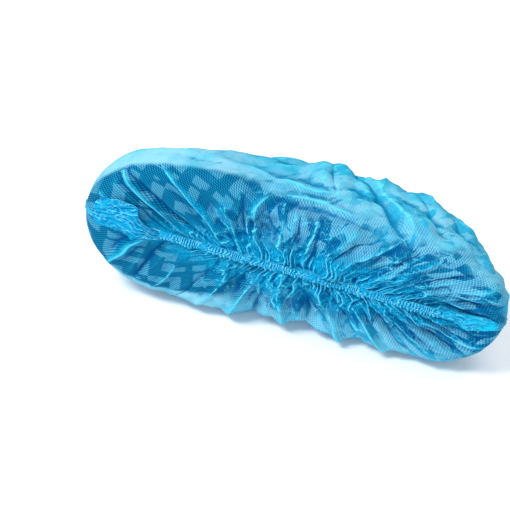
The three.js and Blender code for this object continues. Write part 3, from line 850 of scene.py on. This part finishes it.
# Materials
class Value:
    """A socket of a material that takes part in sums as a number does."""

    def __init__(self, maker, socket):
        self.maker, self.socket = maker, socket

    def with_math(self, operation, *others):
        return self.maker.math(operation, self, *others)

    def __add__(self, other):
        return self.with_math("ADD", other)

    def __sub__(self, other):
        return self.with_math("SUBTRACT", other)

    def __mul__(self, other):
        return self.with_math("MULTIPLY", other)

    def __truediv__(self, other):
        return self.with_math("DIVIDE", other)

    def __rsub__(self, other):
        return self.maker.math("SUBTRACT", other, self)


class Maker:
    """Makes the nodes of one material."""

    def __init__(self, name):
        self.material = bpy.data.materials.new(name)
        self.material.use_nodes = True
        self.tree = self.material.node_tree
        self.tree.nodes.clear()

    def node(self, kind, settings=None, **inputs):
        made = self.tree.nodes.new(kind)
        for key, value in (settings or {}).items():
            setattr(made, key, value)
        for key, value in inputs.items():
            self.give(made.inputs[key.replace("_", " ")], value)
        return made

    def give(self, socket, value):
        if isinstance(value, Value):
            value = value.socket
        if isinstance(value, bpy.types.NodeSocket):
            self.tree.links.new(value, socket)
        else:
            socket.default_value = value

    def math(self, operation, *values):
        made = self.tree.nodes.new("ShaderNodeMath")
        made.operation = operation
        for socket, value in zip(made.inputs, values):
            self.give(socket, value)
        return Value(self, made.outputs[0])

    def attribute(self, name):
        made = self.node("ShaderNodeAttribute", {"attribute_name": name})
        return Value(self, made.outputs["Fac"])

    def noise(self, coordinates, scale, detail=2.0, rough=0.5, seed=0.0):
        made = self.node(
            "ShaderNodeTexNoise", {"noise_dimensions": "4D"},
            Vector=coordinates, W=seed, Scale=scale, Detail=detail, Roughness=rough,
        )
        return Value(self, made.outputs["Fac"])

    def step(self, value, low, high):
        """0 at low, 1 at high and smooth in between. Low may be the greater of the two."""
        made = self.node(
            "ShaderNodeMapRange", {"interpolation_type": "SMOOTHSTEP"},
            Value=value, From_Min=low, From_Max=high,
        )
        return Value(self, made.outputs["Result"])

    def blend(self, share, first, second):
        """The first colour where the share is 0, and the second where it is 1."""
        made = self.tree.nodes.new("ShaderNodeMix")
        made.data_type = "RGBA"
        made.clamp_factor = True
        self.give(made.inputs["Factor"], share)
        self.give(made.inputs[6], first)
        self.give(made.inputs[7], second)
        return made.outputs[2]

    def finish(self, shader):
        end = self.tree.nodes.new("ShaderNodeOutputMaterial")
        self.tree.links.new(shader, end.inputs["Surface"])
        return self.material


def linear(red, green, blue):
    """A colour given as 0 to 255, as linear light."""
    def one(v):
        v /= 255
        return v / 12.92 if v <= 0.04045 else ((v + 0.055) / 1.055) ** 2.4
    return (one(red), one(green), one(blue), 1.0)


PALE = linear(136, 203, 226)
SIDE = linear(46, 172, 202)
MINT = linear(76, 204, 180)
CYAN = linear(6, 160, 204)
SOLE_DARK = linear(0, 60, 100)
SOLE_LIGHT = linear(8, 134, 176)
BACK_DARK = linear(0, 80, 128)
BACK_LIGHT = linear(4, 128, 174)
PATCH_DARK = linear(64, 158, 194)
PATCH = linear(128, 200, 226)
BLOCK_DARK = linear(22, 118, 158)
BLOCK = linear(92, 174, 202)
GATHERED = linear(0, 118, 170)
GATHERED_LIGHT = linear(8, 174, 214)
# Painted shade for valleys and creases, and painted highlights for ridges and crests
VALLEY_SHADE = linear(0, 84, 146)
RIDGE_HIGHLIGHT = linear(50, 196, 228)
CREST_HIGHLIGHT = linear(100, 214, 240)
SIDE_VALLEY_SHADE = linear(0, 128, 172)
TUCK_LIGHT = linear(6, 158, 206)
TUCK_COLOUR = linear(0, 136, 190)
# Painted light: a brighter colour for the heel flap, as though lit
FLAP_PAINTED_LIGHT = linear(30, 196, 232)
TUCK_SHADE_AND_SPECKLE = linear(0, 100, 168)
EMBOSS_PITCH = 0.00195
EMBOSS_SLANTS = (math.radians(-10), math.radians(47))
BLOCK_PITCH = 0.024
PATCHES_A_METRE = (115.0, 62.0, 1.0)
DOT_HEIGHT = 0.00008
GRAIN_HEIGHT = 0.00012
FOLD_GRAIN_HEIGHT = 0.0002
CLOTH_ROUGHNESS = 0.62
CLOTH_SPECULAR = 0.04
BUMP_STRENGTH = 0.8
PANEL_LIGHT_THROUGH = 0.26
FOLD_LIGHT_THROUGH = 0.2
# Crinkles finer than the mesh. Columns: noise scale, seed, and depth in metres.
CRINKLES = ((110.0, 11.0, 0.002), (230.0, 12.0, 0.0008))


def panel_look(m, around, crease):
    """Colour, height in metres and share of light let through, of the panels' cloth."""
    place, share, from_seam, under, tone, lift, fold, edge = (
        m.attribute(key)
        for key in ("place", "share", "from_seam", "under", "tone", "lift", "fold", "edge")
    )
    flat = m.node("ShaderNodeUVMap", {"uv_map": "cloth"}).outputs["UV"]
    split = m.node("ShaderNodeSeparateXYZ", Vector=flat)
    x, y = Value(m, split.outputs["X"]), Value(m, split.outputs["Y"])
    # Dots where two sets of slanting rows cross
    waves = []
    for slant in EMBOSS_SLANTS:
        across = x * math.cos(slant) + y * math.sin(slant)
        waves.append(m.math("COSINE", across * (2 * math.pi / EMBOSS_PITCH)))
    dots = (waves[0] + waves[1]) * 0.25 + 0.5
    patch = m.noise(around, 42.0, 3.0, 0.55, 1.0)
    wobble = patch - 0.5
    # Zigzag bands pressed into the sole
    zig = m.math("PINGPONG", x, BLOCK_PITCH * 0.75)
    band = m.math("FRACT", (y + zig * 0.95 + wobble * 0.006) / BLOCK_PITCH)
    band = m.step(band, 0.44, 0.52) * m.step(band, 0.99, 0.91)
    gap = m.math("FRACT", (y - zig + x * 0.3) / (BLOCK_PITCH * 1.7))
    band = band * m.step(gap, 0.12, 0.2)
    toe = m.step(share + wobble * 0.1, 0.42, 0.36)
    band = band * toe * m.step(m.noise(around, 26.0, 1.0, 0.5, 6.0), 0.32, 0.46)
    # Pale patches on the sole: random cells, and as painted light the lighter-toned facets
    scaled = m.node("ShaderNodeVectorMath", {"operation": "MULTIPLY"})
    m.give(scaled.inputs[0], flat)
    scaled.inputs[1].default_value = PATCHES_A_METRE
    cells = m.node(
        "ShaderNodeTexVoronoi", {"voronoi_dimensions": "2D"},
        Vector=scaled.outputs[0], Scale=1.0, Randomness=1.0,
    )
    pick = m.node("ShaderNodeSeparateColor", Color=cells.outputs["Color"]).outputs[0]
    spots = m.step(Value(m, pick) + wobble * 0.5, 0.5, 0.6) * (1 - toe) * 0.8
    spots = m.math("MAXIMUM", spots, m.step(tone, 0.56, 0.66) * (1 - toe))
    patches = m.math("MAXIMUM", band, spots) * m.step(lift, 0.9, 0.3)
    # The side
    back = m.step(share + wobble * 0.4, 0.3, 0.6)
    calm = m.math("MAXIMUM", m.step(patch, 0.4, 0.65) * 0.6, back * 0.6)
    colour = m.blend(calm, PALE, SIDE)
    # Painted light and shade: side facets paler or deeper cyan by their tone
    colour = m.blend(m.step(tone, 0.56, 0.64) * back * 0.9, colour, PALE)
    colour = m.blend(m.step(tone, 0.44, 0.35) * back * 0.8, colour, CYAN)
    mint = m.step(m.noise(around, 17.0, 2.0, 0.5, 8.0), 0.52, 0.68) * 0.8
    top = m.step(place + wobble * 1.5, 3.3, 4.1)
    colour = m.blend(top * 0.75, colour, m.blend(mint, SIDE, MINT))
    # Painted shade: a deeper cyan over the shoulder, towards the hem
    colour = m.blend(m.step(place + wobble * 1.6, 3.8, 4.5) * 0.7, colour, CYAN)
    # The sole
    dot = m.step(dots, 0.35, 0.7)
    sole = m.blend(dot, SOLE_DARK, SOLE_LIGHT)
    sole = m.blend(patches * 0.85, sole, m.blend(dot, BLOCK_DARK, BLOCK))
    sole = m.blend((1 - toe) * 0.8, sole, m.blend(dot, BACK_DARK, BACK_LIGHT))
    # Painted shade on the darker-toned facets of the sole
    sole = m.blend(m.step(tone, 0.42, 0.28) * (1 - toe) * 0.5, sole, VALLEY_SHADE)
    colour = m.blend(under, colour, sole)
    gathered = m.step(from_seam + wobble * 0.25, 0.5, 0.12)
    raised = m.step(lift + wobble * 0.5, 0.1, 0.8)
    loose = m.math("MAXIMUM", gathered * 0.9, raised * under * 0.8)
    worn = m.noise(flat, 560.0, 2.0, 0.6, 16.0) + dots * 0.12 - 0.06
    puckered = m.blend(m.step(worn, 0.4, 0.6), GATHERED, GATHERED_LIGHT)
    colour = m.blend(loose, colour, puckered)
    shown = m.step(from_seam + wobble * 0.3, 0.2, 0.55) * (1 - toe)
    shown = shown * m.math("MAXIMUM", under, m.step(place, 3.9, 3.0))
    colour = m.blend(spots * shown * 0.72, colour, m.blend(dot, PATCH_DARK, PATCH))
    # Folds and creases: painted shade darkens the valleys, and painted highlights brighten the
    # ridges and crests
    grain = m.noise(flat, 260.0, 2.0, 0.6, 2.0) - 0.5
    near = m.math("MAXIMUM", under, gathered)
    valley_shade = m.blend(near, SIDE_VALLEY_SHADE, VALLEY_SHADE)
    for value, low, high, strength, own in (
        (0 - fold, 0.1, 1.1, 0.75, valley_shade),
        (0 - crease + grain, 0.1, 1.0, 0.6, valley_shade),
        (0 - edge + grain, 0.4, 1.1, 0.5, valley_shade),
        (fold + wobble + grain, 0.2, 1.3, 0.4, RIDGE_HIGHLIGHT),
        (crease + wobble + grain, 0.4, 1.2, 0.4, RIDGE_HIGHLIGHT),
        (edge + wobble * 0.6 + grain * 0.6, 0.45, 1.4, 0.8, CREST_HIGHLIGHT),
    ):
        colour = m.blend(m.step(value, low, high) * strength, colour, own)
    crinkles = [
        m.math("ABSOLUTE", m.noise(flat, scale, 1.0, 0.5, seed) - 0.5)
        for scale, seed, _ in CRINKLES
    ]
    crushed = m.step(m.noise(around, 55.0, 1.0, 0.5, 13.0), 0.42, 0.58)
    crushed = crushed * (1 - toe) * m.step(place, 3.6, 2.4)
    # Painted highlights along the crinkles of the crushed parts
    colour = m.blend(m.step(crinkles[0], 0.03, 0.0) * crushed * 0.35, colour, CREST_HIGHLIGHT)
    # Painted shade darkens the sunken net between the raised dots
    net = m.step(dots, 0.5, 0.2) * (under * 0.22 + 0.08) * (toe * 0.6 + 0.4)
    colour = m.blend(net, colour, VALLEY_SHADE)
    height = dots * (toe * DOT_HEIGHT + DOT_HEIGHT)
    height = height + m.noise(flat, 900.0, 3.0, 0.6, 4.0) * GRAIN_HEIGHT
    for crinkle, (_, _, depth) in zip(crinkles, CRINKLES):
        height = height - crinkle * depth * crushed
    return colour, height, PANEL_LIGHT_THROUGH


def folded_look(m, around, crease, first, second, shade_and_speckle, crest):
    """The same three of gathered and folded cloth, from its four colours: two base colours, a
    painted shade for the creases that also darkens a fine random speckle, and a painted highlight
    for the crests.
    """
    patch = m.noise(around, 110.0, 3.0, 0.6, 5.0)
    colour = m.blend(m.step(patch, 0.35, 0.65), first, second)
    # Painted shade in the creases and painted highlights on the crests
    colour = m.blend(m.step(0 - crease, 0.0, 0.5) * 0.8, colour, shade_and_speckle)
    colour = m.blend(m.step(crease + patch - 0.5, 0.1, 0.5) * 0.85, colour, crest)
    fine = m.math("ABSOLUTE", m.noise(around, 210.0, 1.0, 0.5, 14.0) - 0.5)
    crinkled = m.step(patch, 0.4, 0.6)
    colour = m.blend(m.step(fine, 0.05, 0.0) * crinkled * 0.6, colour, crest)
    speckle = m.step(m.noise(around, 1100.0, 1.0, 0.5, 15.0), 0.52, 0.7)
    colour = m.blend(speckle * 0.35, colour, shade_and_speckle)
    height = m.noise(around, 900.0, 3.0, 0.6, 4.0) * FOLD_GRAIN_HEIGHT
    return colour, height, FOLD_LIGHT_THROUGH


def cloth_material(name, *colours):
    """The panels' cloth, or gathered and folded cloth where four colours are given."""
    m = Maker(name)
    around = m.node("ShaderNodeTexCoord").outputs["Object"]
    crease = m.attribute("crease")
    look = folded_look if colours else panel_look
    colour, height, share_through = look(m, around, crease, *colours)
    bump = m.node("ShaderNodeBump", Height=height, Distance=1.0, Strength=BUMP_STRENGTH)
    body = m.node(
        "ShaderNodeBsdfPrincipled", Base_Color=colour, Roughness=CLOTH_ROUGHNESS,
        Specular_IOR_Level=CLOTH_SPECULAR, Normal=bump.outputs[0],
    )
    through = m.node("ShaderNodeBsdfTranslucent", Color=colour, Normal=bump.outputs[0])
    mix = m.node("ShaderNodeMixShader", Fac=share_through)
    m.tree.links.new(body.outputs[0], mix.inputs[1])
    m.tree.links.new(through.outputs[0], mix.inputs[2])
    return m.finish(mix.outputs[0])


def plain_material(name, colour, roughness):
    """One colour with a faint grain."""
    m = Maker(name)
    around = m.node("ShaderNodeTexCoord").outputs["Object"]
    grain = m.noise(around, 40.0, 3.0)
    shade = m.blend(grain, colour, tuple(0.985 * c for c in colour[:3]) + (1.0,))
    body = m.node("ShaderNodeBsdfPrincipled", Base_Color=shade, Roughness=roughness)
    return m.finish(body.outputs[0])


# Tuck colours: two base colours, a painted crease shade that also serves for speckle, and a
# painted crest highlight
FOLDED = (TUCK_LIGHT, TUCK_COLOUR, TUCK_SHADE_AND_SPECKLE, CREST_HIGHLIGHT)
cloth = cloth_material("embossed_cloth")
tuck_cloth = cloth_material("folded_cloth", *FOLDED)
# Painted light: the heel flap is the tucks' cloth in brighter colours, as though lit
lit_flap_cloth = cloth_material("folded_flap_painted_light", FLAP_PAINTED_LIGHT, TUCK_LIGHT, TUCK_COLOUR, CREST_HIGHLIGHT)
seam_cloth = cloth_material("gathered_seam", *FOLDED)
# TUCK_COLOUR serves the joined edges as painted crease shade, and PALE as painted crest highlight
edge_cloth = cloth_material("joined_edges", SIDE, CYAN, TUCK_COLOUR, PALE)

inner, inner_cut = panel(INNER, "inner_cloth", "inner_panel", 10)
outer, outer_cut = panel(OUTER, "outer_cloth", "outer_panel", 60)
pieces = [
    (inner, cloth),
    (outer, cloth),
    (seam_ruffle(), seam_cloth),
    (end_ruffle(0, "toe_ridge", "toe_seam"), edge_cloth),
    (end_ruffle(1, "heel_ridge", "heel_seam"), edge_cloth),
    (hem_ruffle(), tuck_cloth),
    (tuck("toe_fold", "toe_tuck", TOE_TUCK, 6, 500), tuck_cloth),
    (tuck("heel_fold", "heel_tuck", HEEL_TUCK, 4, 540), lit_flap_cloth),
]
for piece, material in pieces:
    piece.data.materials.append(material)

# Floor
FLOOR_HALF = 3.0
FLOOR_DROP = 0.0004
FLOOR_COLOUR = linear(246, 247, 250)
FLOOR_ROUGHNESS = 0.6
floor_mesh = bpy.data.meshes.new("floor")
floor_corners = [
    (x * FLOOR_HALF, y * FLOOR_HALF, -FLOOR_DROP) for x, y in ((-1, -1), (1, -1), (1, 1), (-1, 1))
]
floor_mesh.from_pydata(floor_corners, [], [(0, 1, 2, 3)])
floor = bpy.data.objects.new("floor", floor_mesh)
bpy.context.collection.objects.link(floor)
floor_mesh.materials.append(plain_material("floor", FLOOR_COLOUR, FLOOR_ROUGHNESS))

# Camera
CAMERA_AZIMUTH = math.radians(5.8)
CAMERA_ELEVATION = math.radians(37.0)
CAMERA_ROLL = math.radians(9.6)
CAMERA_DISTANCE = 1.0
CAMERA_LENS = 93.8
AIM_RIGHT, AIM_UP = -0.0325, -0.021
back = Vector((
    math.sin(CAMERA_AZIMUTH) * math.cos(CAMERA_ELEVATION),
    -math.cos(CAMERA_AZIMUTH) * math.cos(CAMERA_ELEVATION),
    math.sin(CAMERA_ELEVATION),
))
right = (-back).cross(Vector((0, 0, 1))).normalized()
above = right.cross(-back)
middle = (cad_low + cad_high) / 2
aim = middle + right * AIM_RIGHT + above * AIM_UP
rolled_right = right * math.cos(CAMERA_ROLL) + above * math.sin(CAMERA_ROLL)
rolled_above = above * math.cos(CAMERA_ROLL) - right * math.sin(CAMERA_ROLL)
camera_data = bpy.data.cameras.new("camera")
camera_data.lens = CAMERA_LENS
camera = bpy.data.objects.new("camera", camera_data)
bpy.context.collection.objects.link(camera)
camera.matrix_world = Matrix.Translation(aim + back * CAMERA_DISTANCE) @ Matrix(
    (rolled_right, rolled_above, back)
).transposed().to_4x4()
bpy.context.scene.camera = camera

# Lights. Columns: name, place and size in metres, and power in watts.
LIGHTS_AIM = Vector((0, 0, 0.05))
WORLD_COLOUR = (0.97, 0.99, 1.0, 1.0)
WORLD_STRENGTH = 0.6
LIGHTS = (
    ("key", (-0.7, -0.5, 1.1), 0.45, 17.0),
    ("top", (0.3, 0.6, 1.4), 1.0, 8.0),
    ("fill", (0.4, -1.3, 0.18), 0.8, 10.0),
)
for name, place, size, power in LIGHTS:
    data = bpy.data.lights.new(name, "AREA")
    data.size, data.energy = size, power
    lamp = bpy.data.objects.new(name, data)
    lamp.location = place
    lamp.rotation_mode = "QUATERNION"
    lamp.rotation_quaternion = (Vector(place) - LIGHTS_AIM).to_track_quat("Z", "Y")
    bpy.context.collection.objects.link(lamp)

world = bpy.data.worlds.new("studio")
world.use_nodes = True
light = world.node_tree.nodes["Background"]
light.inputs["Color"].default_value = WORLD_COLOUR
light.inputs["Strength"].default_value = WORLD_STRENGTH
bpy.context.scene.world = world
bpy.context.scene.view_settings.view_transform = "Standard"
